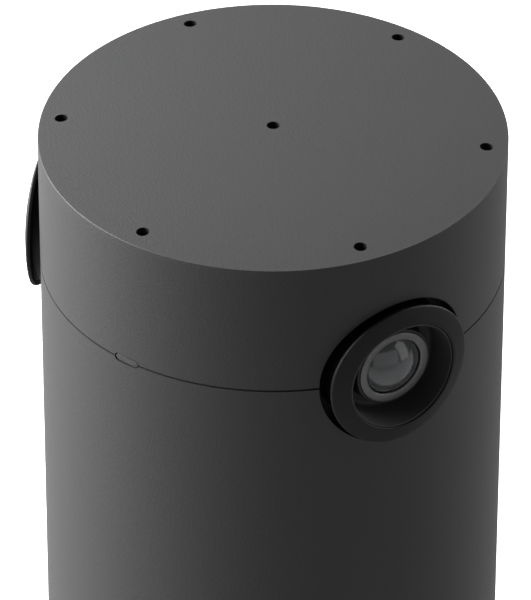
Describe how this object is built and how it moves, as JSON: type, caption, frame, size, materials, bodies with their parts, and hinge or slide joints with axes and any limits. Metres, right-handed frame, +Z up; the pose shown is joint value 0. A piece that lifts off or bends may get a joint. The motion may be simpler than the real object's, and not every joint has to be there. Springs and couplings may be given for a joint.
{
  "type": "conference camera",
  "caption": "Upright round table-top conference camera: cameras in round bezels on the housing's seam, microphone holes in the lid, a status light and a cable bay at the back.",
  "frame": {"origin": "middle of the rubber foot's underside, on the table", "axes": "+Z up along the tower, -Y towards the status light, +Y towards the cable bay, +X towards the right-hand camera"},
  "size_m": [0.0916, 0.086, 0.258],
  "materials": {
    "housing_plastic": "fine-textured dark grey",
    "bay_plastic": "matte black",
    "bezel_plastic": "satin black",
    "shroud_plastic": "matte black",
    "barrel_metal": "black anodised",
    "ring_metal": "satin grey",
    "lens_glass": "coated",
    "holder_plastic": "matte black",
    "circuit_board": "solder mask green",
    "sensor_glass": "gloss",
    "ribbon": "polyimide",
    "light_diffuser": "translucent grey",
    "led_package": "clear",
    "seal_rubber": "matte",
    "foot_rubber": "matte",
    "thermal_rubber": "matte",
    "acoustic_mesh": "fine weave",
    "mic_metal": "satin",
    "base_metal": "cast, satin",
    "ballast_steel": "ground",
    "insert_brass": "turned",
    "screw_steel": "zinc plated",
    "port_metal": "nickel plated",
    "chip_plastic": "moulded",
    "socket_plastic": "moulded",
    "button_plastic": "satin"
  },
  "bodies": {
    "tower": {"upper_housing": "housing_plastic", "lower_housing": "housing_plastic", "seam_gasket": "seal_rubber", "light_pipe": "light_diffuser", "base_plate": "base_metal", "foot_ring": "foot_rubber", "tripod_insert": "insert_brass", "ballast_plate": "ballast_steel", "base_screws": "screw_steel", "mic_gasket": "seal_rubber", "mic_mesh": "acoustic_mesh", "mic_board": "circuit_board", "mic_capsules": "mic_metal", "mic_screws": "screw_steel", "mic_flex": "ribbon", "led_board": "circuit_board", "status_led": "led_package", "io_tray": "bay_plastic", "io_board": "circuit_board", "ethernet_port": "port_metal", "usb_ports": "port_metal", "button_switches": "chip_plastic", "core_frame": "base_metal", "main_board": "circuit_board", "processor": "chip_plastic", "memory_chips": "chip_plastic", "shield_can": "port_metal", "thermal_pad": "thermal_rubber", "board_sockets": "socket_plastic", "core_screws": "screw_steel", "camera_carrier": "base_metal", "camera_screws": "screw_steel", "right_bezel": "bezel_plastic", "right_shroud": "shroud_plastic", "right_lens_barrel": "barrel_metal", "right_retaining_ring": "ring_metal", "right_front_element": "lens_glass", "right_inner_element": "lens_glass", "right_lens_holder": "holder_plastic", "right_sensor_board": "circuit_board", "right_image_sensor": "sensor_glass", "right_flex": "ribbon", "left_bezel": "bezel_plastic", "left_shroud": "shroud_plastic", "left_lens_barrel": "barrel_metal", "left_retaining_ring": "ring_metal", "left_front_element": "lens_glass", "left_inner_element": "lens_glass", "left_lens_holder": "holder_plastic", "left_sensor_board": "circuit_board", "left_image_sensor": "sensor_glass", "left_flex": "ribbon"},
    "reset_button": {"reset_button": "button_plastic"},
    "pair_button": {"pair_button": "button_plastic"}
  },
  "joints": [
    {"name": "reset_button_press", "type": "slide", "parent": "tower", "child": "reset_button", "axis": [0, -1, 0], "range_m": [0, 0.0008], "stiffness_N_per_m": 600, "springref_m": -0.001},
    {"name": "pair_button_press", "type": "slide", "parent": "tower", "child": "pair_button", "axis": [0, -1, 0], "range_m": [0, 0.0008], "stiffness_N_per_m": 600, "springref_m": -0.001}
  ]
}
